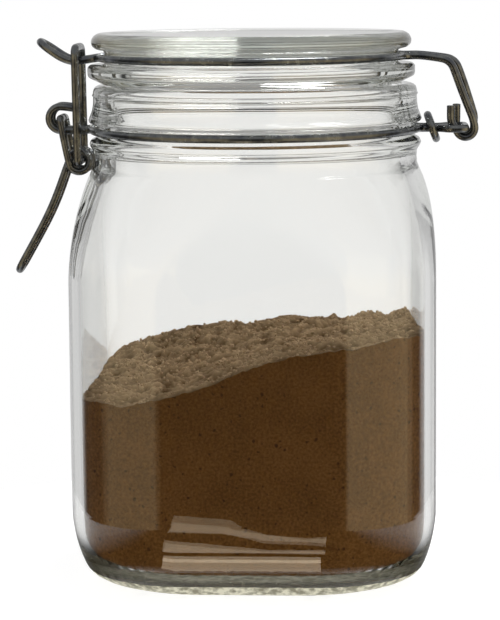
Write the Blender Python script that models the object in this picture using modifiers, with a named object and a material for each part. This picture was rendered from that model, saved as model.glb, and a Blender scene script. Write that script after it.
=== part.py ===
"""Square clip-top storage jar with a glass lid, part-filled with brown powder.

Metres, +Z up. The latch is at -X, the hinge at +X, and the side that faces the viewer
is -Y. Every shape is drawn about the jar's own upright axis. The whole jar is then set
AXIS_X to the side, so that the origin lies on the surface it stands on, under the middle
of its overall length from the lever's tip to the hinge.
"""
import math

import bmesh
import bpy
from mathutils import Vector

# Glass body: a rounded square that turns into a round neck.
BODY_HALF = 0.0534
BODY_CORNER = 0.0306
WALL = 0.0033
FLOOR_Z = 0.0047
CROWN = 0.0004
AROUND = 48
# Inset and height of the heel, from the foot up to the straight wall.
HEEL = ((0.0155, 0.0), (0.0103, 0.0006), (0.0065, 0.0019), (0.0039, 0.0045),
        (0.0023, 0.0085), (0.0010, 0.0135), (0.0, 0.0205))
FOOT_WIDTH = 0.0035
PUSH_UP = 0.0012
SHOULDER_START = 0.088
SHOULDER_END = 0.122
SHOULDER_STEPS = 8
SHOULDER_FULLNESS = 3.0
NECK_R = 0.0480
BEAD_R = 0.0494
RIM_Z = 0.1452
BORE_R = 0.0430

# Glass lid, which the latch draws a little towards itself.
LID_SHIFT = -0.0010
LID_TOP = 0.1604
LID_SEAT = RIM_Z + 0.0003
LID_DISC_R = 0.0473
LID_FLANGE_R = 0.0484
LID_GROOVE_R = 0.0433
LID_PLUG_R = 0.0416
LID_RECESS_R = 0.0375

# Steel wire, the same gauge in every piece of the bail.
WIRE_R = 0.00115
GAP = 0.0003
NECK_WIRE_Z = 0.1320
NECK_GROOVE_R = 0.0469
NECK_GROOVE_HALF = 0.0017
NECK_WIRE_RING = NECK_GROOVE_R + GAP + WIRE_R
LID_WIRE_Z = 0.1533
LID_WIRE_RING = LID_GROOVE_R + GAP + WIRE_R

# Hinge: the crossbar of the neck wire, which both hooks of the lid wire turn about.
HINGE_X = 0.0622
HINGE_Z = NECK_WIRE_Z
HOOK_R = 2 * WIRE_R + 0.00045
HOOK_Y = 0.0045
LOOP_Y = 0.0073
NECK_EXIT_Y = 0.0032
ARM_SKEW = 0.0008
STUB_X = 0.0588

# Latch: the lever turns in the eyes of the neck wire, the link turns in the lever's coils.
PIVOT_X = -0.0576
PIVOT_Z = 0.1353
COIL_X = -0.0522
COIL_Z = 0.1226
COIL_R = 0.0030
EYE_Y = 0.0030
LEVER_Y = 0.0056
HANDLE_Y = 0.00315
LINK_Y = 0.0082
LINK_TOP_X = -0.0526
LINK_TOP_Z = 0.1563
TONGUE_Y = 0.0048

# Powder: its level along the front wall and along the back wall, as x and height.
FILL_GAP = 0.0003
FRONT_LEVEL = ((-0.0500, 0.0550), (-0.0335, 0.0563), (-0.0250, 0.0587), (-0.0180, 0.0601),
               (-0.0090, 0.0633), (0.0007, 0.0670), (0.0098, 0.0701), (0.0178, 0.0719),
               (0.0284, 0.0735), (0.0351, 0.0745), (0.0440, 0.0757), (0.0500, 0.0768))
BACK_LEVEL = ((-0.0500, 0.0600), (-0.0460, 0.0610), (-0.0400, 0.0622), (-0.0344, 0.0636),
              (-0.0138, 0.0667), (-0.0015, 0.0669), (0.0030, 0.0688), (0.0162, 0.0689),
              (0.0240, 0.0674), (0.0302, 0.0696), (0.0409, 0.0699), (0.0500, 0.0722))
FILL_RINGS = 9

JAR_NAME = "clip_top_jar"
AXIS_X = 0.003155


def clear_scene():
    for obj in list(bpy.data.objects):
        bpy.data.objects.remove(obj, do_unlink=True)


def make_collection(name):
    collection = bpy.data.collections.new(name)
    bpy.context.scene.collection.children.link(collection)
    return collection


def make_material(name, colour, roughness, metallic=0.0, transmission=0.0):
    material = bpy.data.materials.new(name)
    material.use_nodes = True
    shader = material.node_tree.nodes["Principled BSDF"]
    shader.inputs["Base Color"].default_value = (*colour, 1.0)
    shader.inputs["Roughness"].default_value = roughness
    shader.inputs["Metallic"].default_value = metallic
    shader.inputs["Transmission Weight"].default_value = transmission
    return material


def square_reach(angle, half, corner):
    """Distance from the axis to a rounded square's edge, in the direction of an angle."""
    across = max(abs(math.cos(angle)), abs(math.sin(angle)))
    along = min(abs(math.cos(angle)), abs(math.sin(angle)))
    flat = half - corner
    if along * half <= flat * across:
        return half / across
    middle = flat * (across + along)
    return middle + math.sqrt(middle * middle - 2 * flat * flat + corner * corner)


def ring_points(half, corner, z, count=AROUND):
    points = []
    for i in range(count):
        angle = 2 * math.pi * i / count
        reach = square_reach(angle, half, corner)
        points.append(Vector((reach * math.cos(angle), reach * math.sin(angle), z)))
    return points


def loft(name, rings, start, end, material, collection):
    """Skin a stack of rings of equal count, closed at both ends with a centre point."""
    mesh = bmesh.new()
    rows = [[mesh.verts.new(point) for point in ring] for ring in rings]
    count = len(rows[0])
    for lower, upper in zip(rows, rows[1:]):
        for i in range(count):
            j = (i + 1) % count
            mesh.faces.new((lower[i], lower[j], upper[j], upper[i]))
    first = mesh.verts.new(start)
    last = mesh.verts.new(end)
    for i in range(count):
        j = (i + 1) % count
        mesh.faces.new((first, rows[0][j], rows[0][i]))
        mesh.faces.new((last, rows[-1][i], rows[-1][j]))
    return finish_mesh(name, mesh, material, collection)


def finish_mesh(name, mesh, material, collection):
    data = bpy.data.meshes.new(name)
    bmesh.ops.recalc_face_normals(mesh, faces=mesh.faces)
    mesh.to_mesh(data)
    mesh.free()
    data.shade_smooth()
    data.set_sharp_from_angle(angle=math.radians(35))
    data.materials.append(material)
    obj = bpy.data.objects.new(name, data)
    collection.objects.link(obj)
    return obj


def shoulder_rings(inset):
    """Rings from the straight wall to the round neck, for the outside or the bore."""
    rings = []
    for step in range(SHOULDER_STEPS + 1):
        t = step / SHOULDER_STEPS
        blend = t * t * (3 - 2 * t)
        half = BODY_HALF + (NECK_R - BODY_HALF) * t ** SHOULDER_FULLNESS - inset
        neck_inset = NECK_R - BORE_R
        if inset > 0:
            half -= (neck_inset - inset) * blend
        corner = BODY_CORNER - inset + (half - BODY_CORNER + inset) * blend
        z = SHOULDER_START + (SHOULDER_END - SHOULDER_START) * t
        rings.append((half, corner, z))
    return rings


def neck_profile():
    """Radius and height up the outside of the neck, over the rim and down into the bore."""
    return (
        (NECK_R, 0.1255),
        (NECK_R + 0.0007, 0.1268),
        (BEAD_R - 0.0002, 0.1280),
        (NECK_R + 0.0006, 0.1292),
        (NECK_GROOVE_R, NECK_WIRE_Z - NECK_GROOVE_HALF),
        (NECK_GROOVE_R, NECK_WIRE_Z + NECK_GROOVE_HALF),
        (BEAD_R - 0.0003, 0.1343),
        (BEAD_R, 0.1350),
        (NECK_R + 0.0004, 0.1376),
        (NECK_R, 0.1400),
        (NECK_R, 0.1432),
        (NECK_R - 0.0004, 0.1444),
        (NECK_R - 0.0013, 0.1450),
        (NECK_R - 0.0025, RIM_Z),
        (BORE_R + 0.0010, RIM_Z),
        (BORE_R + 0.0002, 0.1446),
        (BORE_R, 0.1436),
        (BORE_R, 0.1270),
    )


def body_rings():
    """Outline of the whole jar, from under the foot, up the outside and down the inside."""
    foot_inset = HEEL[0][0] + FOOT_WIDTH
    outline = [(BODY_HALF - foot_inset - 0.004, BODY_CORNER - 0.008, PUSH_UP),
               (BODY_HALF - foot_inset, BODY_CORNER - 0.004, 0.0)]
    outline += [(BODY_HALF - inset, BODY_CORNER, z) for inset, z in HEEL]
    outline += shoulder_rings(0.0)
    outline += [(radius, radius, z) for radius, z in neck_profile()]
    outline += reversed(shoulder_rings(WALL))
    outline += cavity_floor(0.0)
    return outline


def cavity_floor(gap):
    """Inside of the heel, from the wall down to the floor."""
    half = BODY_HALF - WALL - gap
    corner = BODY_CORNER - WALL - gap
    steps = ((0.0, 0.0205), (0.0007, 0.0140), (0.0020, 0.0098), (0.0042, 0.0070),
             (0.0080, 0.0053), (0.0130, FLOOR_Z))
    return [(half - inset, corner, z + gap) for inset, z in steps]


def build_jar(material, collection):
    rings = [ring_points(*ring) for ring in body_rings()]
    start = Vector((0.0, 0.0, PUSH_UP + 2 * CROWN))
    end = Vector((0.0, 0.0, FLOOR_Z + CROWN))
    return loft("jar_glass", rings, start, end, material, collection)


def level_at(x, levels):
    if x <= levels[0][0]:
        return levels[0][1]
    for (x0, z0), (x1, z1) in zip(levels, levels[1:]):
        if x <= x1:
            return z0 + (z1 - z0) * (x - x0) / (x1 - x0)
    return levels[-1][1]


def powder_height(x, y):
    """Level of the powder: the front and back wall lines joined, with low crumbly mounds."""
    span = BODY_HALF - WALL
    share = 0.5 + 0.5 * max(-1.0, min(1.0, y / span))
    height = level_at(x, FRONT_LEVEL) * (1 - share) + level_at(x, BACK_LEVEL) * share
    edge = min(1.0, (span - max(abs(x), abs(y))) / 0.010)
    mound = math.sin(x * 310 + 1.3) * math.sin(y * 270 + 0.4)
    crumb = math.sin(x * 720 + y * 260) * math.sin(y * 640 - x * 190 + 2.0)
    return height + max(0.0, edge) * (0.0011 * mound + 0.0006 * crumb)


def build_powder(material, collection):
    gap = FILL_GAP
    half = BODY_HALF - WALL - gap
    corner = BODY_CORNER - WALL - gap
    rings = [ring_points(*ring) for ring in reversed(cavity_floor(gap))]
    for step in range(FILL_RINGS):
        share = 1 - step / FILL_RINGS
        ring = ring_points(half * share, corner * share, 0.0)
        for point in ring:
            point.z = powder_height(point.x, point.y)
        rings.append(ring)
    start = Vector((0.0, 0.0, FLOOR_Z + CROWN + gap))
    end = Vector((0.0, 0.0, powder_height(0.0, 0.0)))
    return loft("powder", rings, start, end, material, collection)


def turned(name, profile, steps, material, collection):
    """A profile at +X, running down its outer side, turned round the Z axis."""
    mesh = bmesh.new()
    points = [mesh.verts.new((radius, 0.0, z)) for radius, z in profile]
    for first, second in zip(points, points[1:]):
        mesh.edges.new((first, second))
    data = bpy.data.meshes.new(name)
    mesh.to_mesh(data)
    mesh.free()
    data.materials.append(material)
    obj = bpy.data.objects.new(name, data)
    collection.objects.link(obj)
    screw = obj.modifiers.new("turn", "SCREW")
    screw.axis = "Z"
    screw.angle = 2 * math.pi
    screw.steps = steps
    screw.render_steps = steps
    screw.use_merge_vertices = True
    screw.merge_threshold = 0.00001
    screw.use_smooth_shade = True
    return obj


def build_lid(material, collection):
    profile = (
        (0.0, LID_TOP - 0.0004),
        (0.0400, LID_TOP - 0.0004),
        (0.0425, LID_TOP),
        (0.0452, LID_TOP),
        (0.0466, LID_TOP - 0.0008),
        (LID_DISC_R, LID_TOP - 0.0021),
        (LID_DISC_R - 0.0001, LID_TOP - 0.0034),
        (LID_DISC_R - 0.0010, LID_TOP - 0.0044),
        (LID_GROOVE_R + 0.0006, 0.1553),
        (LID_GROOVE_R, 0.1547),
        (LID_GROOVE_R, 0.1519),
        (LID_GROOVE_R + 0.0005, 0.1514),
        (LID_FLANGE_R - 0.0008, 0.1512),
        (LID_FLANGE_R, 0.1504),
        (LID_FLANGE_R, 0.1482),
        (LID_FLANGE_R - 0.0004, 0.1475),
        (0.0444, LID_SEAT + 0.0002),
        (0.0440, LID_SEAT),
        (LID_PLUG_R, LID_SEAT),
        (LID_PLUG_R, 0.1438),
        (LID_PLUG_R - 0.0008, 0.1431),
        (LID_RECESS_R + 0.0008, 0.1431),
        (LID_RECESS_R, 0.1438),
        (LID_RECESS_R - 0.0004, 0.1518),
        (LID_RECESS_R - 0.0025, 0.1538),
        (0.0, 0.1545),
    )
    return turned("lid_glass", profile, AROUND, material, collection)


def round_corners(corners):
    """Points along a bent wire: each corner is a point and the reach of its bend."""
    path = []
    for i, (corner, reach) in enumerate(corners):
        corner = Vector(corner)
        if reach == 0 or i == 0 or i == len(corners) - 1:
            path.append(corner)
            continue
        before = Vector(corners[i - 1][0]) - corner
        after = Vector(corners[i + 1][0]) - corner
        first = corner + before.normalized() * reach
        last = corner + after.normalized() * reach
        for step in range(5):
            t = step / 4
            path.append(first * (1 - t) ** 2 + corner * 2 * t * (1 - t) + last * t * t)
    return path


def arc(centre_x, centre_z, radius, start, stop, steps, y_start, y_stop):
    """Points on an arc in the XZ plane, with a steady drift along Y, each with no bend."""
    points = []
    for step in range(steps + 1):
        t = step / steps
        angle = math.radians(start + (stop - start) * t)
        point = (centre_x + radius * math.cos(angle), y_start + (y_stop - y_start) * t,
                 centre_z + radius * math.sin(angle))
        points.append((point, 0))
    return points


def ring_arc(middle, radius, z, start_y, stop_y, steps):
    """Front half of a level ring, from the hinge side round to the latch side."""
    start = -math.asin(start_y / radius)
    stop = -math.pi + math.asin(stop_y / radius)
    points = []
    for step in range(steps + 1):
        angle = start + (stop - start) * step / steps
        points.append(((middle + radius * math.cos(angle), radius * math.sin(angle), z), 0))
    return points


def mirrored(points):
    return [Vector((point.x, -point.y, point.z)) for point in points]


def wire(name, path, material, collection, cyclic=False):
    curve = bpy.data.curves.new(name, "CURVE")
    curve.dimensions = "3D"
    curve.bevel_depth = WIRE_R
    curve.bevel_resolution = 2
    curve.use_fill_caps = True
    spline = curve.splines.new("POLY")
    spline.points.add(len(path) - 1)
    for place, point in zip(spline.points, path):
        place.co = (point.x, point.y, point.z, 1.0)
    spline.use_cyclic_u = cyclic
    spline.use_smooth = True
    curve.materials.append(material)
    obj = bpy.data.objects.new(name, curve)
    collection.objects.link(obj)
    return obj


def lid_wire_half(skew):
    """Stub, hook, hinge arm, half ring and one strand of the tongue, on the -Y side."""
    y = -HOOK_Y
    stub = STUB_X + 1.2 * skew
    corners = [((stub, y, 0.1386), 0), ((stub, y, 0.1340), 0.0012)]
    corners += arc(HINGE_X, HINGE_Z, HOOK_R, -165, 15, 8, y, y)
    corners += [
        ((0.0646 + skew * 0.5, y, 0.1352), 0.0010),
        ((0.0618 + skew, y, 0.1430), 0),
        ((0.0586 + skew, y, 0.1521), 0.0030),
        ((0.0490, y, 0.1534), 0),
        ((LID_SHIFT + LID_WIRE_RING, y, LID_WIRE_Z), 0.0026),
    ]
    corners += ring_arc(LID_SHIFT, LID_WIRE_RING, LID_WIRE_Z, HOOK_Y + 0.0032,
                        TONGUE_Y + 0.0032, 22)
    y = -TONGUE_Y
    corners += [
        ((LID_SHIFT - LID_WIRE_RING, y, LID_WIRE_Z), 0.0026),
        ((-0.0500, y, 0.1526), 0),
        ((-0.0540, y, 0.1522), 0.0015),
        ((-0.0572, y, 0.1534), 0.0010),
    ]
    return round_corners(corners)


def build_lid_wire(material, collection):
    near = lid_wire_half(-ARM_SKEW)
    far = mirrored(lid_wire_half(ARM_SKEW))
    slope = math.radians(35)
    bend = []
    steps = 10
    for step in range(steps + 1):
        angle = math.pi * step / steps
        ahead = TONGUE_Y * math.sin(angle)
        bend.append(Vector((-0.0598 - ahead * math.cos(slope), -TONGUE_Y * math.cos(angle),
                            0.1552 + ahead * math.sin(slope))))
    path = near + bend + list(reversed(far))
    return wire("lid_wire", path, material, collection)


def neck_wire_half():
    """Half the hinge loop, the near half of the neck ring and one eye of the latch."""
    corners = [
        ((HINGE_X, 0.0, HINGE_Z), 0),
        ((HINGE_X, -LOOP_Y, HINGE_Z), 0.0015),
        ((0.0572, -LOOP_Y, NECK_WIRE_Z), 0.0015),
        ((0.0545, -NECK_EXIT_Y, NECK_WIRE_Z), 0.0012),
        ((NECK_WIRE_RING, -NECK_EXIT_Y, NECK_WIRE_Z), 0.0022),
    ]
    corners += ring_arc(0.0, NECK_WIRE_RING, NECK_WIRE_Z, NECK_EXIT_Y + 0.0028,
                        EYE_Y + 0.0028, 22)
    eye_r = 0.0036
    low = PIVOT_Z - eye_r
    corners += [((-NECK_WIRE_RING, -EYE_Y, NECK_WIRE_Z), 0.0022),
                ((-0.0520, -EYE_Y, low), 0)]
    corners += arc(PIVOT_X, PIVOT_Z, eye_r, -90, -270, 10, -EYE_Y, -EYE_Y)
    corners += [((-0.0532, -EYE_Y, PIVOT_Z + eye_r - 0.0006), 0)]
    return round_corners(corners)


def build_neck_wire(material, collection):
    near = neck_wire_half()
    far = mirrored(near)
    path = list(reversed(near)) + far[1:]
    return wire("neck_wire", path, material, collection)


def build_hinge_clip(material, collection):
    """Small oval ring that draws the two strands of the neck wire together."""
    lean = math.radians(20)
    steps = 24
    path = []
    for step in range(steps):
        angle = 2 * math.pi * step / steps
        rise = 0.00375 * math.cos(angle)
        path.append(Vector((0.0524 - rise * math.sin(lean), 0.0058 * math.sin(angle),
                            NECK_WIRE_Z + 0.0002 + rise * math.cos(lean))))
    return wire("hinge_clip", path, material, collection, cyclic=True)


def lever_half():
    """Pin in the eye, straight strand, coil and one strand of the handle."""
    corners = [
        ((PIVOT_X, -0.0012, PIVOT_Z), 0),
        ((PIVOT_X, -LEVER_Y, PIVOT_Z), 0.0012),
    ]
    corners += arc(COIL_X, COIL_Z, COIL_R, 200, 520, 18, -LEVER_Y, -HANDLE_Y)
    corners += [
        ((-0.0563, -0.0034, 0.1203), 0),
        ((-0.0576, -0.0037, 0.1167), 0),
        ((-0.0601, -0.0040, 0.1101), 0),
        ((-0.0637, -0.0040, 0.1030), 0),
        ((-0.0676, -0.0040, 0.0962), 0),
    ]
    return round_corners(corners)


def build_lever(material, collection):
    near = lever_half()
    half_width = 0.0040
    slope = math.radians(60)
    steps = 8
    bend = []
    for step in range(1, steps):
        angle = math.pi * step / steps
        ahead = half_width * math.sin(angle)
        bend.append(Vector((-0.0693 - ahead * math.cos(slope), -half_width * math.cos(angle),
                            0.0932 - ahead * math.sin(slope))))
    path = near + bend + list(reversed(mirrored(near)))
    return wire("lever_wire", path, material, collection)


def build_link(material, collection):
    """U-shaped link: its crossbar hooks over the tongue, its ends turn in the coils."""
    half = round_corners([
        ((COIL_X, -0.0018, COIL_Z), 0),
        ((COIL_X, -LINK_Y, COIL_Z), 0.0013),
        ((LINK_TOP_X, -LINK_Y, LINK_TOP_Z), 0.0028),
        ((LINK_TOP_X, 0.0, LINK_TOP_Z), 0),
    ])
    path = half + list(reversed(mirrored(half)))[1:]
    return wire("link_wire", path, material, collection)


def hang_on_axis(obj, collection, name, x, z):
    """Parent a moving piece to an empty on its axis, without moving it."""
    pivot = bpy.data.objects.new(name, None)
    pivot.location = (x, 0.0, z)
    collection.objects.link(pivot)
    bpy.context.view_layer.update()
    obj.parent = pivot
    obj.matrix_parent_inverse = pivot.matrix_world.inverted()


def set_over_origin(collection):
    """Slide the finished jar along X, its moving pieces with the empties they hang on."""
    for obj in collection.objects:
        if obj.parent is None:
            obj.location.x += AXIS_X


def main():
    clear_scene()
    jar = make_collection(JAR_NAME)
    clear_glass = make_material("clear_glass", (0.90, 0.93, 0.92), 0.03, transmission=1.0)
    steel = make_material("steel_wire", (0.10, 0.10, 0.09), 0.38, metallic=0.9)
    brown = make_material("brown_powder", (0.12, 0.065, 0.028), 0.95)
    build_jar(clear_glass, jar)
    build_powder(brown, jar)
    lid = build_lid(clear_glass, jar)
    lid.location.x = LID_SHIFT
    lid_wire = build_lid_wire(steel, jar)
    build_neck_wire(steel, jar)
    build_hinge_clip(steel, jar)
    lever = build_lever(steel, jar)
    link = build_link(steel, jar)
    hang_on_axis(lid, jar, "hinge_axis_lid", HINGE_X, HINGE_Z)
    hang_on_axis(lid_wire, jar, "hinge_axis_wire", HINGE_X, HINGE_Z)
    hang_on_axis(lever, jar, "lever_axis", PIVOT_X, PIVOT_Z)
    hang_on_axis(link, jar, "link_axis", COIL_X, COIL_Z)
    set_over_origin(jar)


main()
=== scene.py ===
"""Looks for a square clip-top glass jar, part-filled with brown powder.

Metres, +Z up, latch at -X, hinge at +X, and the side that faces the viewer is -Y. The wires
and the powder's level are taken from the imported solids, and the glass keeps their sizes.
The sections follow the jar as it is put together.
"""

import math
import random

import bpy
from mathutils import Euler, Matrix, Vector, noise
from mathutils.bvhtree import BVHTree


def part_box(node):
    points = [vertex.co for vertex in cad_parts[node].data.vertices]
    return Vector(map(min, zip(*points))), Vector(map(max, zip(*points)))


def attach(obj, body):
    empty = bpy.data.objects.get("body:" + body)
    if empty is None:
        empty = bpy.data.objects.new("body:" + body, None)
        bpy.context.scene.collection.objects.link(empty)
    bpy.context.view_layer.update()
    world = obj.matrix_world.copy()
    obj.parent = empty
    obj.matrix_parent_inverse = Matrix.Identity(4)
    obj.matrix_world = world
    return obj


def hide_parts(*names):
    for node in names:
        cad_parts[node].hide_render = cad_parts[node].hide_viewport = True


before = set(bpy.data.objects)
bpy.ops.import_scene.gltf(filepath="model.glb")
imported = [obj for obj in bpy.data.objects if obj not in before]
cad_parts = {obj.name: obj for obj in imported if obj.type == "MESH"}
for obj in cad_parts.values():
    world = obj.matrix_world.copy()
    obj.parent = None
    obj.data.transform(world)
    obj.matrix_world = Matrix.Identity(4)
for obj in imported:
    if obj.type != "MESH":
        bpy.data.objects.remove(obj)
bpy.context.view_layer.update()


# Studio. The jar is seen from a little above its lid, from about 0.74 m, through a long
# lens. It stands on a lit sheet of white acrylic in front of a white backdrop, between two
# large soft boxes. The room behind the camera is dark, so the flat front mirrors little.
JAR_X = 0.003155
CAMERA_AWAY = 0.7408
CAMERA_HEIGHT = 0.1806
CAMERA_TURN = math.radians(3.30)
CAMERA_DIP = math.radians(7.93)
CAMERA_ROLL = math.radians(-0.49)
CAMERA_PAN = math.radians(0.155)
FOCAL_PIXELS = 2491
PHOTO_HEIGHT = 620

camera_data = bpy.data.cameras.new("photo_camera")
camera_data.sensor_width = 36.0
camera_data.lens = FOCAL_PIXELS * camera_data.sensor_width / PHOTO_HEIGHT
camera = bpy.data.objects.new("photo_camera", camera_data)
bpy.context.scene.collection.objects.link(camera)
place = Matrix.Translation((JAR_X + CAMERA_AWAY * math.sin(CAMERA_TURN),
                            -CAMERA_AWAY * math.cos(CAMERA_TURN), CAMERA_HEIGHT))
aim = Euler((math.pi / 2 - CAMERA_DIP, 0.0, CAMERA_TURN + CAMERA_PAN)).to_matrix().to_4x4()
camera.matrix_world = place @ aim @ Matrix.Rotation(CAMERA_ROLL, 4, "Z")
bpy.context.scene.camera = camera
bpy.context.scene.view_settings.view_transform = "Standard"
bpy.context.scene.cycles.max_bounces = 24
bpy.context.scene.cycles.transmission_bounces = 24
bpy.context.scene.cycles.glossy_bounces = 12


def add_node(tree, kind, settings=None, links=None):
    """Add a shader node, set its fields or sockets, and link what feeds it."""
    node = tree.nodes.new(kind)
    for name, value in (settings or {}).items():
        if isinstance(name, str) and hasattr(node, name):
            setattr(node, name, value)
        else:
            node.inputs[name].default_value = value
    for name, source in (links or {}).items():
        tree.links.new(source, node.inputs[name])
    return node


def linear(code):
    """An sRGB hex colour as linear red, green, blue and full alpha."""
    shares = [int(code[i:i + 2], 16) / 255 for i in (1, 3, 5)]
    return (*[c / 12.92 if c <= 0.04045 else ((c + 0.055) / 1.055) ** 2.4 for c in shares], 1.0)


# Brightness of the room by direction, in degrees from the camera's side, minus to the latch.
# What glass mirrors, what lights the powder, and what is seen straight on or through glass.
# The two windows that show in the front corners are warm. Above the walls is the ceiling,
# from where a direction's rise passes the first share to where it passes the second.
WHITE = "#FFFFFF"
BLACK = "#000000"
WARM = "#FFE9BE"
MIRRORED = ((-180, 0.68, WHITE), (-126, 0.62, WHITE), (-120, 0.03, WHITE), (-84, 0.03, WHITE),
            (-79, 0.54, WARM), (-18, 0.58, WARM), (-14, 0.01, WHITE), (17, 0.01, WHITE),
            (21, 0.74, WARM), (99, 0.66, WARM), (103, 0.03, WHITE), (122, 0.03, WHITE),
            (128, 0.74, WHITE), (180, 0.68, WHITE))
LIGHTING = ((-180, 0.8, WHITE), (-110, 0.8, WHITE), (-100, 1.3, WHITE), (-55, 1.3, WHITE),
            (-40, 0.6, WHITE), (40, 0.6, WHITE), (55, 2.0, WHITE), (100, 2.0, WHITE),
            (110, 0.8, WHITE), (180, 0.8, WHITE))
SEEN = ((-180, 1.0, WHITE), (-160, 1.0, WHITE), (-135, 0.70, WHITE), (-90, 0.68, WHITE),
        (0, 0.90, WHITE), (90, 0.70, WHITE), (135, 0.76, WHITE), (160, 1.0, WHITE),
        (180, 1.0, WHITE))
CEILING_MIRRORED = 0.42
CEILING_LIGHTING = 0.65
CEILING_SEEN = 0.30
CEILING_RISE = (0.10, 0.42)
BRIGHTEST = 2.0
world = bpy.data.worlds.new("studio")
bpy.context.scene.world = world
world.use_nodes = True
tree = world.node_tree
tree.nodes.clear()
coords = add_node(tree, "ShaderNodeTexCoord")
parts = add_node(tree, "ShaderNodeSeparateXYZ", None, {0: coords.outputs["Generated"]})
toward = add_node(tree, "ShaderNodeMath", {"operation": "MULTIPLY", 1: -1.0},
                  {0: parts.outputs["Y"]})
turned = add_node(tree, "ShaderNodeMath", {"operation": "ARCTAN2"},
                  {0: parts.outputs["X"], 1: toward.outputs[0]})
share = add_node(tree, "ShaderNodeMapRange", {"From Min": -math.pi, "From Max": math.pi},
                 {"Value": turned.outputs[0]})
rise = add_node(tree, "ShaderNodeMapRange",
                {"From Min": CEILING_RISE[0], "From Max": CEILING_RISE[1]},
                {"Value": parts.outputs["Z"]})
rooms = []
for stops, ceiling in ((MIRRORED, CEILING_MIRRORED), (LIGHTING, CEILING_LIGHTING),
                       (SEEN, CEILING_SEEN)):
    ramp = add_node(tree, "ShaderNodeValToRGB", None, {"Fac": share.outputs[0]})
    walls = ramp.color_ramp.elements
    walls.remove(walls[1])
    for degrees, glow, tint in stops:
        wall = walls[0] if degrees == -180 else walls.new((degrees + 180) / 360)
        wall.color = (*[glow / BRIGHTEST * c for c in linear(tint)[:3]], 1.0)
    above = ceiling / BRIGHTEST
    rooms.append(add_node(tree, "ShaderNodeMix", {"data_type": "RGBA", 7: (above,) * 3 + (1.0,)},
                          {0: rise.outputs[0], 6: ramp.outputs["Color"]}))
ray = add_node(tree, "ShaderNodeLightPath")
room = rooms[2]
for depth, other in (("Glossy Depth", rooms[0]), ("Diffuse Depth", rooms[1])):
    bounced = add_node(tree, "ShaderNodeMath", {"operation": "GREATER_THAN", 1: 0.5},
                       {0: ray.outputs[depth]})
    room = add_node(tree, "ShaderNodeMix", {"data_type": "RGBA"},
                    {0: bounced.outputs[0], 6: room.outputs[2], 7: other.outputs[2]})
room = add_node(tree, "ShaderNodeMix", {"data_type": "RGBA", 7: (1 / BRIGHTEST,) * 3 + (1.0,)},
                {0: ray.outputs["Is Camera Ray"], 6: room.outputs[2]})
background = add_node(tree, "ShaderNodeBackground", {"Strength": BRIGHTEST},
                      {"Color": room.outputs[2]})
add_node(tree, "ShaderNodeOutputWorld", None, {"Surface": background.outputs[0]})

# The sheet under the jar, and three narrow lamps that only the glass mirrors. The glass
# mirrors the sheet dark before the jar, past a few millimetres from the glass, and less
# dark beside it and out past its corners. Each lamp is a patch: how far right of the axis,
# and from how near to how far before the jar's front.
FLOOR_RADIUS = 0.140
FLOOR_GLOW = 0.86
UNDER_GLASS = (0.005, 0.009)
BESIDE_JAR = (0.004, -0.026)
DARK_BESIDE = 0.78
CORNERWARD = (0.100, 0.060)
DARK_CORNERWARD = 0.45
# Under the jar's footprint the sheet's colour and glow are painted darker and cream: painted
# shade, seen through the glass base.
FOOTPRINT = (0.040, 0.036)
PAINTED_FOOTPRINT_SHADE = "#E8E2CC"
FRONT_Y = -0.0534
STRIPS = (((-0.031, 0.074, 0.107), (-0.012, 0.068, 0.100), (0.002, 0.042, 0.064),
           (0.014, 0.040, 0.052), (0.021, 0.036, 0.056)),
          ((-0.031, 0.023, 0.043), (-0.012, 0.023, 0.033), (0.004, 0.023, 0.027),
           (0.021, 0.022, 0.027)),
          ((-0.029, 0.0070, 0.0165), (0.020, 0.0070, 0.0165)))
STRIP_GLOWS = (1.65, 2.0, 3.8)


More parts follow.
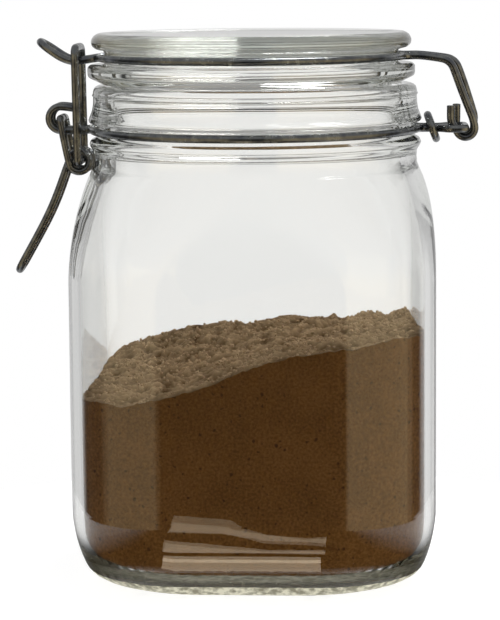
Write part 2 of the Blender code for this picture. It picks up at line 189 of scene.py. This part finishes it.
def lit_acrylic(name, lamp_glow, lamp_tint):
    """White acrylic lit from below: a lamp's glow and tint where glass mirrors it, painted shade
    under the jar.
    """
    material = bpy.data.materials.new(name)
    material.use_nodes = True
    tree = material.node_tree
    shader = tree.nodes["Principled BSDF"]
    shader.inputs["Roughness"].default_value = 0.8
    shader.inputs["Specular IOR Level"].default_value = 0.0
    ray = add_node(tree, "ShaderNodeLightPath")
    bounced = add_node(tree, "ShaderNodeMath", {"operation": "GREATER_THAN", 1: 0.5},
                       {0: ray.outputs["Glossy Depth"]})
    far = add_node(tree, "ShaderNodeMapRange",
                   {"From Min": UNDER_GLASS[0], "From Max": UNDER_GLASS[1]},
                   {"Value": ray.outputs["Ray Length"]})
    coords = add_node(tree, "ShaderNodeTexCoord")
    parts = add_node(tree, "ShaderNodeSeparateXYZ", None, {0: coords.outputs["Object"]})
    before = add_node(tree, "ShaderNodeMapRange",
                      {"From Min": BESIDE_JAR[0], "From Max": BESIDE_JAR[1],
                       "To Min": DARK_BESIDE},
                      {"Value": parts.outputs["Y"]})
    mirrored = add_node(tree, "ShaderNodeMath", {"operation": "MULTIPLY"},
                        {0: bounced.outputs[0], 1: far.outputs[0]})
    centred = add_node(tree, "ShaderNodeMath", {"operation": "SUBTRACT", 1: JAR_X},
                       {0: parts.outputs["X"]})
    sideways = add_node(tree, "ShaderNodeMath", {"operation": "ABSOLUTE"}, {0: centred.outputs[0]})
    across = add_node(tree, "ShaderNodeMapRange",
                      {"From Min": CORNERWARD[0], "From Max": CORNERWARD[1],
                       "To Min": DARK_CORNERWARD},
                      {"Value": sideways.outputs[0]})
    for share in (before, across):
        mirrored = add_node(tree, "ShaderNodeMath", {"operation": "MULTIPLY"},
                            {0: mirrored.outputs[0], 1: share.outputs[0]})
    # Painted shade: the sheet darkens to cream within the jar's footprint.
    aside = add_node(tree, "ShaderNodeVectorMath", {"operation": "DISTANCE", 1: (JAR_X, 0.0, 0.0)},
                     {0: coords.outputs["Object"]})
    beneath = add_node(tree, "ShaderNodeMapRange",
                       {"From Min": FOOTPRINT[0], "From Max": FOOTPRINT[1]},
                       {"Value": aside.outputs["Value"]})
    shade = add_node(tree, "ShaderNodeMix",
                     {"data_type": "RGBA", 6: linear(WHITE), 7: linear(PAINTED_FOOTPRINT_SHADE)},
                     {0: beneath.outputs[0]})
    glow = add_node(tree, "ShaderNodeMapRange", {"To Min": FLOOR_GLOW, "To Max": lamp_glow},
                    {"Value": mirrored.outputs[0]})
    tree.links.new(glow.outputs[0], shader.inputs["Emission Strength"])
    for socket, plain, lamp_colour in (
            ("Base Color", "#959595", BLACK), ("Emission Color", WHITE, lamp_tint)):
        mix = add_node(tree, "ShaderNodeMix",
                       {"data_type": "RGBA", 6: linear(plain), 7: linear(lamp_colour)},
                       {0: mirrored.outputs[0]})
        mix = add_node(tree, "ShaderNodeMix",
                       {"data_type": "RGBA", "blend_type": "MULTIPLY", 0: 1.0},
                       {6: mix.outputs[2], 7: shade.outputs[2]})
        tree.links.new(mix.outputs[2], shader.inputs[socket])
    return material


bpy.ops.object.select_all(action="DESELECT")
bpy.ops.mesh.primitive_circle_add(vertices=96, radius=FLOOR_RADIUS, fill_type="NGON",
                                  location=(JAR_X, 0.0, -0.0002))
floor = bpy.context.object
floor.name = "floor"
bpy.ops.object.transform_apply(location=True, rotation=True, scale=True)
floor.data.materials.append(lit_acrylic("lit_white_acrylic", 0.0, WHITE))

for k, (strip, glow) in enumerate(zip(STRIPS, STRIP_GLOWS)):
    corners = [(JAR_X + x, FRONT_Y - near, -0.0001) for x, near, far in strip]
    corners += [(JAR_X + x, FRONT_Y - far, -0.0001) for x, near, far in reversed(strip)]
    strip_mesh = bpy.data.meshes.new("floor_lamp_%d" % k)
    strip_mesh.from_pydata(corners, [], [tuple(reversed(range(len(corners))))])
    lamp = bpy.data.objects.new("floor_lamp_%d" % k, strip_mesh)
    bpy.context.scene.collection.objects.link(lamp)
    strip_mesh.materials.append(lit_acrylic("narrow_floor_lamp_%d" % k, glow, "#FFEBCB"))

lamp_data = bpy.data.lights.new("top_softbox", "AREA")
lamp_data.shape = "SQUARE"
lamp_data.size = 0.5
lamp_data.energy = 9.0
lamp = bpy.data.objects.new("top_softbox", lamp_data)
lamp.location = (0.30, 0.15, 0.95)
lamp.rotation_euler = (math.radians(-9.0), math.radians(17.0), 0.0)
lamp.visible_glossy = False
bpy.context.scene.collection.objects.link(lamp)


# Glass body. Pressed soda-lime glass, a rounded square with a thick base and a round neck.
# It is clear, with a faint grey-green where it is thick.
BODY_HALF = 0.0534
BODY_CORNER = 0.0306
WALL = 0.0033
NECK_R = 0.0480
BORE_R = 0.0430
SHOULDER = (0.088, 0.122)
AROUND = 384
SKIN_STEP = 0.0028
WELD = 0.000004


def square_reach(angle, half, corner):
    """Distance from the middle to a rounded square's edge, in the direction of an angle."""
    across = max(abs(math.cos(angle)), abs(math.sin(angle)))
    along = min(abs(math.cos(angle)), abs(math.sin(angle)))
    side = half - corner
    if along * half <= side * across:
        return half / across
    middle = side * (across + along)
    return middle + math.sqrt(max(0.0, middle * middle - 2 * side * side + corner * corner))


def smooth_rows(rows, step):
    """Fill in between rows of equal length along a smooth curve, about one row each step."""
    rows = [Vector(row) for row in rows]
    filled = []
    for i in range(len(rows) - 1):
        before = rows[max(0, i - 1)]
        start, end = rows[i], rows[i + 1]
        after = rows[min(len(rows) - 1, i + 2)]
        span = (end - start).length
        lead = min(1.0, span / max((start - before).length, 1e-9)) if i else 0.0
        tail = min(1.0, span / max((after - end).length, 1e-9)) if i < len(rows) - 2 else 0.0
        leave = (end - start + (start - before) * lead) * 0.5
        arrive = (end - start + (after - end) * tail) * 0.5
        count = max(2, math.ceil(span / step))
        for k in range(count):
            t = k / count
            filled.append(start * (2 * t ** 3 - 3 * t ** 2 + 1) + leave * (t ** 3 - 2 * t ** 2 + t)
                          + end * (3 * t ** 2 - 2 * t ** 3) + arrive * (t ** 3 - t ** 2))
    filled.append(rows[-1])
    return filled


def wrapped_skin(name, rows, middle_x, node):
    """A closed glass skin: a flat grid wrapped round the axis, one ring for each row, and
    nowhere outside the box of its CAD node.

    A row is half width, corner radius and height. The first and last close at the middle.
    """
    bpy.ops.object.select_all(action="DESELECT")
    bpy.ops.mesh.primitive_grid_add(x_subdivisions=AROUND, y_subdivisions=len(rows) - 1, size=2.0)
    piece = bpy.context.object
    piece.name = name
    lowest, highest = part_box(node)
    for vertex in piece.data.vertices:
        turn = round((vertex.co.x + 1) / 2 * AROUND) % AROUND
        half, corner, height = rows[round((vertex.co.y + 1) / 2 * (len(rows) - 1))]
        angle = 2 * math.pi * turn / AROUND
        reach = square_reach(angle, half, max(min(corner, half), 0.0)) if half > 0 else 0.0
        spot = (middle_x + reach * math.cos(angle), reach * math.sin(angle), height)
        vertex.co = [min(max(c, low), high) for c, low, high in zip(spot, lowest, highest)]
    bpy.ops.object.mode_set(mode="EDIT")
    bpy.ops.mesh.select_all(action="SELECT")
    bpy.ops.mesh.remove_doubles(threshold=WELD)
    bpy.ops.mesh.normals_make_consistent(inside=False)
    bpy.ops.object.mode_set(mode="OBJECT")
    bpy.ops.object.shade_smooth()
    return piece


def shoulder(inset):
    """Rows from the straight wall to the round neck, for the outside or the bore."""
    rows = []
    for k in range(9):
        t = k / 8
        blend = t * t * (3 - 2 * t)
        half = BODY_HALF + (NECK_R - BODY_HALF) * t ** 3 - inset
        if inset:
            half -= (NECK_R - BORE_R - inset) * blend
        corner = BODY_CORNER - inset + (half - BODY_CORNER + inset) * blend
        rows.append((half, corner, SHOULDER[0] + (SHOULDER[1] - SHOULDER[0]) * t))
    return rows


# Heel outside and inside: how far in from the straight wall, and height. Moulded round it
# are upright dashes, and under it a knurled, stippled foot: each has its limits in height
# or in distance from the axis.
HEEL = ((0.0155, 0.0), (0.0103, 0.0006), (0.0065, 0.0019), (0.0039, 0.0045),
        (0.0023, 0.0085), (0.0010, 0.0135), (0.0, 0.0205))
INNER_HEEL = ((0.0, 0.0205), (0.0007, 0.0140), (0.0020, 0.0098), (0.0042, 0.0070),
              (0.0080, 0.0053), (0.0130, 0.0047))
FLOOR_MIDDLE = 0.0051
DASHES = (0.0044, 0.0080)
DASH_COLUMNS = 4
DASH_RELIEF = 0.00030
DASH_DEEPEST = 0.0055
KNURL = (0.0004, 0.030)
FOOT_STIPPLE = (0.0045, 0.028)

# Neck outside, over the rim and down the bore: radius and height. It has two beads, a
# groove for the wire between them, and under the rim the line where the mould's halves met.
NECK = ((0.0480, 0.1255), (0.0487, 0.1268), (0.0492, 0.1280), (0.0486, 0.1292), (0.0469, 0.1303),
        (0.0469, 0.1337), (0.0491, 0.1343), (0.0494, 0.1350), (0.0484, 0.1376), (0.0480, 0.1400),
        (0.0480, 0.1419), (0.0483, 0.1423), (0.0480, 0.1427),
        (0.0480, 0.1432), (0.0476, 0.1444), (0.0467, 0.1450), (0.0455, 0.1452), (0.0440, 0.1452),
        (0.0432, 0.1446), (0.0430, 0.1436), (0.0430, 0.1270))

# The skin starts in the shallow hollow under the base.
hollow = [(0.0, 0.0, 0.0020), (0.0304, 0.0226, 0.0012), (0.0344, 0.0266, 0.0)]
outside = [(BODY_HALF - inset, BODY_CORNER, z) for inset, z in HEEL] + shoulder(0.0)
neck = [(radius, radius, z) for radius, z in NECK]
inside = list(reversed(shoulder(WALL)))
inside += [(BODY_HALF - WALL - inset, BODY_CORNER - WALL, z) for inset, z in INNER_HEEL]
rows = smooth_rows(hollow + outside + neck + inside + [(0.0, 0.0, FLOOR_MIDDLE)], SKIN_STEP)


def clear_glass(name, roughness):
    """Soda-lime glass: IOR 1.52, nearly clear, a little grey-green with depth."""
    material = bpy.data.materials.new(name)
    material.use_nodes = True
    tree = material.node_tree
    shader = tree.nodes["Principled BSDF"]
    shader.inputs["Base Color"].default_value = linear("#FDFDFC")
    shader.inputs["Roughness"].default_value = roughness
    shader.inputs["IOR"].default_value = 1.52
    shader.inputs["Transmission Weight"].default_value = 1.0
    absorb = add_node(tree, "ShaderNodeVolumeAbsorption",
                      {"Color": linear("#B8C4B0"), "Density": 6.0})
    tree.links.new(absorb.outputs[0], tree.nodes["Material Output"].inputs["Volume"])
    return material


soda_glass = clear_glass("pressed_soda_lime_glass", 0.0)

# The underside of the heel is stippled in the mould, so it scatters the light it stands on.
# Its colour is mottled from olive to pale cream: painted glints and painted shade.
STIPPLE_GLINT_SIZE = 0.00192
stippled = clear_glass("stippled_foot_glass_painted_glints", 0.5)
tree = stippled.node_tree
shader = tree.nodes["Principled BSDF"]
shader.inputs["Transmission Weight"].default_value = 0.25
coords = add_node(tree, "ShaderNodeTexCoord")
glint_mottle = add_node(tree, "ShaderNodeTexNoise", {"Scale": 1 / STIPPLE_GLINT_SIZE, "Detail": 3.0},
                  {"Vector": coords.outputs["Object"]})
# Painted glints and shade: noise at the stipple's size turns the foot's colour olive in flecks and
# pale cream in spots.
ramp = add_node(tree, "ShaderNodeValToRGB", None, {"Fac": glint_mottle.outputs["Fac"]})
ramp.color_ramp.elements[0].position = 0.38
ramp.color_ramp.elements[0].color = linear("#8F8A70")
ramp.color_ramp.elements[1].position = 0.62
ramp.color_ramp.elements[1].color = linear("#F0ECD2")
tree.links.new(ramp.outputs["Color"], shader.inputs["Base Color"])
jar = wrapped_skin("pressed_glass_jar", rows, JAR_X, "jar_glass")
for vertex in jar.data.vertices:
    angle = math.atan2(vertex.co.y, vertex.co.x - JAR_X)
    column = round(angle / (2 * math.pi) * AROUND)
    reach = math.hypot(vertex.co.x - JAR_X, vertex.co.y)
    inner = square_reach(angle, BODY_HALF - DASH_DEEPEST, BODY_CORNER - DASH_DEEPEST / 2)
    if DASHES[0] < vertex.co.z < DASHES[1] and reach > inner:
        off_middle = abs(column % DASH_COLUMNS - DASH_COLUMNS / 2)
        dent = DASH_RELIEF * (1 - off_middle / (DASH_COLUMNS / 2))
        vertex.co.x -= dent * math.cos(angle)
        vertex.co.y -= dent * math.sin(angle)
    if vertex.co.z < KNURL[0] and reach > KNURL[1]:
        vertex.co.z += DASH_RELIEF * (column // 2 % 2)
jar.data.materials.append(soda_glass)
jar.data.materials.append(stippled)
for face in jar.data.polygons:
    aside = math.hypot(face.center.x - JAR_X, face.center.y)
    is_foot = face.center.z < FOOT_STIPPLE[0] and aside > FOOT_STIPPLE[1]
    face.material_index = 1 if is_foot else 0
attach(jar, "jar")
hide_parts("jar_glass")


# Powder. Fine dry brown powder, poured in and settled with a slope, crumbly on top. It
# reaches just into the wall all round its upper edge. Below that it only touches the
# glass, because dry powder doesn't wet it, so the clear wall shows beside it.
INTO_WALL = 0.00005
CLEAR = 0.00004
STRIP = 0.00002
GRID = 264
INSIDE_EDGE = 0.0008
SKIRT_STEP = 0.0020
random.seed(7)
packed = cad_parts["powder"].data
surface = BVHTree.FromPolygons([v.co.copy() for v in packed.vertices],
                               [tuple(p.vertices) for p in packed.polygons])
FILL_HALF = BODY_HALF - WALL
FILL_CORNER = BODY_CORNER - WALL


def level_under(x, y):
    """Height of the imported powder's top at a place, read a little inside its edge."""
    angle = math.atan2(y, x - JAR_X)
    reach = math.hypot(x - JAR_X, y)
    most = square_reach(angle, FILL_HALF, FILL_CORNER) - INSIDE_EDGE
    if reach > most:
        x = JAR_X + (x - JAR_X) * most / reach
        y = y * most / reach
    return surface.ray_cast(Vector((x, y, 0.2)), Vector((0, 0, -1)))[0].z


# Relief of the powder's top: how wide and how high. The first is the mounds, the others the
# grit. Round lumps lie among it. Near the glass the relief sinks to a share of itself.
ROUGHNESS = ((0.0110, 0.0020), (0.0038, 0.0011), (0.0017, 0.0008), (0.0009, 0.0006))
LUMP_SPACING = 0.0030
LUMP_SIZES = (0.225, 0.45)
LUMP_HEIGHT = 0.4
AT_GLASS = 0.45
TO_MIDDLE = 12


def lumps(spot):
    """Height of round lumps strewn at random, one in each cell and no two the same size."""
    near, middles = noise.voronoi(spot / LUMP_SPACING)
    size = LUMP_SIZES[0] + LUMP_SIZES[1] * abs(noise.noise(middles[0] * 7.3))
    return LUMP_SPACING * math.sqrt(max(0.0, size * size - near[0] * near[0]))


def crumbs(x, y):
    """Height of the soft mounds, and of the 1 to 4 mm crumbs and grit on them."""
    spot = Vector((x, y, 0.0))
    rough = [noise.noise(spot * (1 / size)) * height for size, height in ROUGHNESS]
    return rough[0], sum(rough[1:]) + lumps(spot) * LUMP_HEIGHT


bpy.ops.object.select_all(action="DESELECT")
bpy.ops.mesh.primitive_grid_add(x_subdivisions=GRID, y_subdivisions=GRID, size=2.0)
powder = bpy.context.object
powder.name = "brown_powder"
crumb_height = powder.data.attributes.new("crumb_height", "FLOAT", "POINT")
for vertex in powder.data.vertices:
    share = max(abs(vertex.co.x), abs(vertex.co.y))
    angle = math.atan2(vertex.co.y, vertex.co.x)
    reach = square_reach(angle, FILL_HALF + INTO_WALL, FILL_CORNER + INTO_WALL) * share
    x = JAR_X + reach * math.cos(angle)
    y = reach * math.sin(angle)
    mound, crumb = crumbs(x, y)
    crumb_height.data[vertex.index].value = crumb
    relief = (mound + crumb) * min(1.0, AT_GLASS + (1 - share) * TO_MIDDLE)
    vertex.co = (x, y, level_under(x, y) + relief)
bpy.ops.object.mode_set(mode="EDIT")
bpy.ops.mesh.select_all(action="SELECT")
bpy.ops.mesh.region_to_loop()
skirt = [(0.0, None)]
skirt += [(inset, z + CLEAR) for inset, z in smooth_rows(INNER_HEEL, SKIRT_STEP)]
for inset, height in skirt:
    bpy.ops.object.mode_set(mode="EDIT")
    bpy.ops.mesh.extrude_region_move(TRANSFORM_OT_translate={"value": (0, 0, -0.0001)})
    bpy.ops.object.mode_set(mode="OBJECT")
    for vertex in powder.data.vertices:
        if vertex.select:
            angle = math.atan2(vertex.co.y, vertex.co.x - JAR_X)
            reach = square_reach(angle, FILL_HALF - CLEAR - inset, FILL_CORNER - CLEAR)
            lower = vertex.co.z - STRIP if height is None else height
            vertex.co = (JAR_X + reach * math.cos(angle), reach * math.sin(angle), lower)
bpy.ops.object.mode_set(mode="EDIT")
bpy.ops.mesh.edge_face_add()
bpy.ops.mesh.select_all(action="SELECT")
bpy.ops.mesh.normals_make_consistent(inside=False)
bpy.ops.object.mode_set(mode="OBJECT")
bpy.ops.object.shade_smooth()

# Ground dry powder has no shine. Pressed on the glass it is one dark brown, a little cloudy,
# with ragged darker specks of about a millimetre. Its broken top is paler, partly a fine
# dusting and partly painted light on the faces that look up. Its crumbs are painted palest
# where they stand up and darkest in the hollows between, as painted light and shade. The
# grain itself is too fine to show, and is drawn at 0.8 mm.
CLOUD = 0.0111
FINE_GRAIN = 0.00077
SPECK = 0.00125
SPECK_EDGE = 0.00067
SPECK_STRAYS = 0.0006
BROWNS = ((0.50, "#5F3F1C"), (0.67, "#6E4A22"), (0.84, "#7E562C"))
brown = bpy.data.materials.new("dry_brown_powder")
brown.use_nodes = True
tree = brown.node_tree
shader = tree.nodes["Principled BSDF"]
shader.inputs["Roughness"].default_value = 0.95
shader.inputs["Specular IOR Level"].default_value = 0.1
coords = add_node(tree, "ShaderNodeTexCoord")
cloudy = add_node(tree, "ShaderNodeTexNoise", {"Scale": 1 / CLOUD, "Detail": 3.0},
                  {"Vector": coords.outputs["Object"]})
fine = add_node(tree, "ShaderNodeTexNoise",
                {"Scale": 1 / FINE_GRAIN, "Detail": 2.0, "Roughness": 0.7},
                {"Vector": coords.outputs["Object"]})
both = add_node(tree, "ShaderNodeMath", {"operation": "MULTIPLY_ADD", 1: 0.35},
                {0: cloudy.outputs["Fac"], 2: fine.outputs["Fac"]})
ramp = add_node(tree, "ShaderNodeValToRGB", None, {"Fac": both.outputs[0]})
for position, code in BROWNS:
    stop = ramp.color_ramp.elements.new(position)
    stop.color = linear(code)
for end in (0, -1):
    ramp.color_ramp.elements.remove(ramp.color_ramp.elements[end])
bent = add_node(tree, "ShaderNodeTexNoise", {"Scale": 1 / SPECK_EDGE},
                {"Vector": coords.outputs["Object"]})
ragged = add_node(tree, "ShaderNodeMix", {"data_type": "RGBA", "blend_type": "LINEAR_LIGHT"})
ragged.inputs["Factor"].default_value = SPECK_STRAYS
tree.links.new(coords.outputs["Object"], ragged.inputs[6])
tree.links.new(bent.outputs["Color"], ragged.inputs[7])
speck = add_node(tree, "ShaderNodeTexVoronoi", {"Scale": 1 / SPECK},
                 {"Vector": ragged.outputs[2]})
chosen = add_node(tree, "ShaderNodeSeparateColor", None, {0: speck.outputs["Color"]})
grown = add_node(tree, "ShaderNodeMapRange", {"From Min": 0.78, "To Max": 0.50},
                 {"Value": chosen.outputs[0]})
inside = add_node(tree, "ShaderNodeMath", {"operation": "SUBTRACT"},
                  {0: grown.outputs[0], 1: speck.outputs["Distance"]})
dark = add_node(tree, "ShaderNodeMapRange", {"From Min": 0.0, "From Max": 0.14, "To Max": 0.75},
                {"Value": inside.outputs[0]})
specked = add_node(tree, "ShaderNodeMix", {"data_type": "RGBA"})
tree.links.new(dark.outputs[0], specked.inputs["Factor"])
tree.links.new(ramp.outputs["Color"], specked.inputs[6])
specked.inputs[7].default_value = linear("#3C2814")
# Painted light: faces of the top that look up are mixed towards the pale crumb colours, as if lit
# from above.
upward = add_node(tree, "ShaderNodeSeparateXYZ", None, {0: coords.outputs["Normal"]})
painted_top_light = add_node(tree, "ShaderNodeMapRange", {"From Min": 0.02, "From Max": 0.45, "To Max": 0.8},
                 {"Value": upward.outputs["Z"]})
# Painted light and shade on the crumbs: the higher a crumb stands, the paler it is painted, and
# the hollows between are painted dark.
height = add_node(tree, "ShaderNodeAttribute", {"attribute_name": "crumb_height"})
tall = add_node(tree, "ShaderNodeMapRange", {"From Min": -0.0009, "From Max": 0.0010},
                {"Value": height.outputs["Fac"]})
crumb_light_and_shade = add_node(tree, "ShaderNodeValToRGB", None, {"Fac": tall.outputs[0]})
crumb_light_and_shade.color_ramp.elements[0].color = linear("#48341B")
crumb_light_and_shade.color_ramp.elements[1].color = linear("#B39A78")
dusting_and_painted_light = add_node(tree, "ShaderNodeMix", {"data_type": "RGBA"})
tree.links.new(painted_top_light.outputs[0], dusting_and_painted_light.inputs["Factor"])
tree.links.new(specked.outputs[2], dusting_and_painted_light.inputs[6])
tree.links.new(crumb_light_and_shade.outputs["Color"], dusting_and_painted_light.inputs[7])
tree.links.new(dusting_and_painted_light.outputs[2], shader.inputs["Base Color"])
powder.data.materials.append(brown)
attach(powder, "jar")
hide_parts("powder")

# Loose grains. Small hard crumbs of the same powder, strewn over its top and half sunk in
# it, from a quarter to seven tenths of a millimetre in radius.
GRAINS = 2400
GRAIN_RADII = (0.00025, 0.0003, 0.0004, 0.0005, 0.0007)
GRAIN_UNEVEN = (0.7, 1.2)
GRAIN_RISE = 0.1
GRAIN_SPREAD = 0.985
bpy.ops.object.select_all(action="DESELECT")
bpy.ops.mesh.primitive_ico_sphere_add(subdivisions=1, radius=1.0)
seed_grain = bpy.context.object
shape = [v.co.copy() for v in seed_grain.data.vertices]
facets = [tuple(p.vertices) for p in seed_grain.data.polygons]
bpy.data.objects.remove(seed_grain, do_unlink=True)
points, sides = [], []
for _ in range(GRAINS):
    share = math.sqrt(random.random()) * GRAIN_SPREAD
    angle = random.uniform(0, 2 * math.pi)
    reach = square_reach(angle, FILL_HALF, FILL_CORNER) * share
    x, y = JAR_X + reach * math.cos(angle), reach * math.sin(angle)
    size = random.choice(GRAIN_RADII)
    middle = Vector((x, y, level_under(x, y) + sum(crumbs(x, y)) + size * GRAIN_RISE))
    tumble = Euler([random.uniform(0, 6.28) for _ in range(3)]).to_matrix()
    start = len(points)
    for corner in shape:
        points.append(middle + tumble @ (corner * size * random.uniform(*GRAIN_UNEVEN)))
    sides += [tuple(start + i for i in facet) for facet in facets]
grain_mesh = bpy.data.meshes.new("loose_powder_grains")
grain_mesh.from_pydata(points, [], sides)
grains = bpy.data.objects.new("loose_powder_grains", grain_mesh)
bpy.context.scene.collection.objects.link(grains)

# A grain is a pale brown all round, with no shine: partly a fine dusting and partly painted
# light, raised to lift its shaded sides. Its tone changes over a few millimetres, so that
# neighbours are alike.
TONE_CHANGE = 0.00286
dusty_painted_light_brown = bpy.data.materials.new("dusty_painted_light_brown_grains")
dusty_painted_light_brown.use_nodes = True
tree = dusty_painted_light_brown.node_tree
shader = tree.nodes["Principled BSDF"]
shader.inputs["Roughness"].default_value = 0.95
shader.inputs["Specular IOR Level"].default_value = 0.1
coords = add_node(tree, "ShaderNodeTexCoord")
mixed = add_node(tree, "ShaderNodeTexNoise", {"Scale": 1 / TONE_CHANGE},
                 {"Vector": coords.outputs["Object"]})
ramp = add_node(tree, "ShaderNodeValToRGB", None, {"Fac": mixed.outputs["Fac"]})
# Painted light: both ends of this ramp are paler than the powder's own brown.
ramp.color_ramp.elements[0].position = 0.35
ramp.color_ramp.elements[0].color = linear("#94795A")
ramp.color_ramp.elements[1].position = 0.65
ramp.color_ramp.elements[1].color = linear("#C4A986")
tree.links.new(ramp.outputs["Color"], shader.inputs["Base Color"])
grains.data.materials.append(dusty_painted_light_brown)
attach(grains, "jar")


# Wires. Drawn steel wire 2.3 mm thick, dull dark grey, in five bent pieces: the neck wire
# with its clip, the lid wire, the lever and the link. Rounding a wire's facets thins it a
# little, so it is then fattened back to its size.
WIRE_WELD = 0.000002
FATTEN = 0.00011


def refined_wire(node, name):
    """A CAD wire's mesh as a new piece: its triangles joined up and its facets rounded."""
    piece = bpy.data.objects.new(name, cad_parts[node].data.copy())
    bpy.context.scene.collection.objects.link(piece)
    piece.data.materials.clear()
    bpy.ops.object.select_all(action="DESELECT")
    piece.select_set(True)
    bpy.context.view_layer.objects.active = piece
    bpy.ops.mesh.customdata_custom_splitnormals_clear()
    bpy.ops.object.mode_set(mode="EDIT")
    bpy.ops.mesh.select_all(action="SELECT")
    bpy.ops.mesh.remove_doubles(threshold=WIRE_WELD)
    bpy.ops.mesh.tris_convert_to_quads(face_threshold=math.radians(40),
                                       shape_threshold=math.radians(60))
    bpy.ops.mesh.select_all(action="DESELECT")
    bpy.ops.mesh.edges_select_sharp(sharpness=math.radians(65))
    bpy.ops.transform.edge_crease(value=0.9)
    bpy.ops.object.mode_set(mode="OBJECT")
    rounding = piece.modifiers.new("rounding", "SUBSURF")
    rounding.levels = rounding.render_levels = 2
    bpy.ops.object.modifier_apply(modifier="rounding")
    fatten = piece.modifiers.new("fatten", "DISPLACE")
    fatten.mid_level = 0.0
    fatten.strength = FATTEN
    bpy.ops.object.modifier_apply(modifier="fatten")
    bpy.ops.object.shade_smooth_by_angle(angle=math.radians(50))
    return piece


WORN_PATCH = 0.00238


def drawn_steel(name):
    """Drawn steel, dulled by handling: dark grey, with patches rubbed brighter and matter."""
    material = bpy.data.materials.new(name)
    material.use_nodes = True
    tree = material.node_tree
    shader = tree.nodes["Principled BSDF"]
    shader.inputs["Metallic"].default_value = 1.0
    coords = add_node(tree, "ShaderNodeTexCoord")
    worn = add_node(tree, "ShaderNodeTexNoise", {"Scale": 1 / WORN_PATCH, "Detail": 3.0},
                    {"Vector": coords.outputs["Object"]})
    ramp = add_node(tree, "ShaderNodeValToRGB", None, {"Fac": worn.outputs["Fac"]})
    ramp.color_ramp.elements[0].position = 0.35
    ramp.color_ramp.elements[0].color = linear("#676A70")
    ramp.color_ramp.elements[1].position = 0.72
    ramp.color_ramp.elements[1].color = linear("#90928F")
    tree.links.new(ramp.outputs["Color"], shader.inputs["Base Color"])
    matt = add_node(tree, "ShaderNodeMapRange", {"To Min": 0.20, "To Max": 0.32},
                    {"Value": worn.outputs["Fac"]})
    tree.links.new(matt.outputs[0], shader.inputs["Roughness"])
    return material


steel = drawn_steel("drawn_steel_wire")
for node, name, body in (("neck_wire", "bent_neck_wire", "jar"),
                         ("hinge_clip", "oval_wire_clip", "jar"),
                         ("lid_wire", "bent_lid_wire", "lid"),
                         ("lever_wire", "bent_lever_wire", "lever"),
                         ("link_wire", "bent_link_wire", "link")):
    piece = refined_wire(node, name)
    piece.data.materials.append(steel)
    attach(piece, body)
    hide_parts(node)


# Lid. Pressed glass like the jar, a disc with a groove for the wire and a flange below it.
# The latch draws it a millimetre towards itself. Its profile runs from the middle of the
# top down its side and back to the middle of the hollow under it: radius and height.
LID_X = JAR_X - 0.0010
LID_STEP = 0.0012
LID = ((0.0, 0.1600), (0.0400, 0.1600), (0.0425, 0.1604), (0.0452, 0.1604), (0.0466, 0.1596),
       (0.0473, 0.1583), (0.0472, 0.1570), (0.0463, 0.1560), (0.0439, 0.1553), (0.0433, 0.1547),
       (0.0433, 0.1519), (0.0438, 0.1514), (0.0476, 0.1512), (0.0484, 0.1504), (0.0484, 0.1482),
       (0.0480, 0.1475), (0.0444, 0.1457), (0.0440, 0.1455), (0.0416, 0.1455), (0.0416, 0.1438),
       (0.0408, 0.1431), (0.0383, 0.1431), (0.0375, 0.1438), (0.0371, 0.1518), (0.0350, 0.1538),
       (0.0, 0.1545))
lid_rows = smooth_rows([(radius, radius, z) for radius, z in reversed(LID)], LID_STEP)
lid = wrapped_skin("pressed_glass_lid", lid_rows, LID_X, "lid_glass")
lid.data.materials.append(soda_glass)
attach(lid, "lid")
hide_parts("lid_glass")
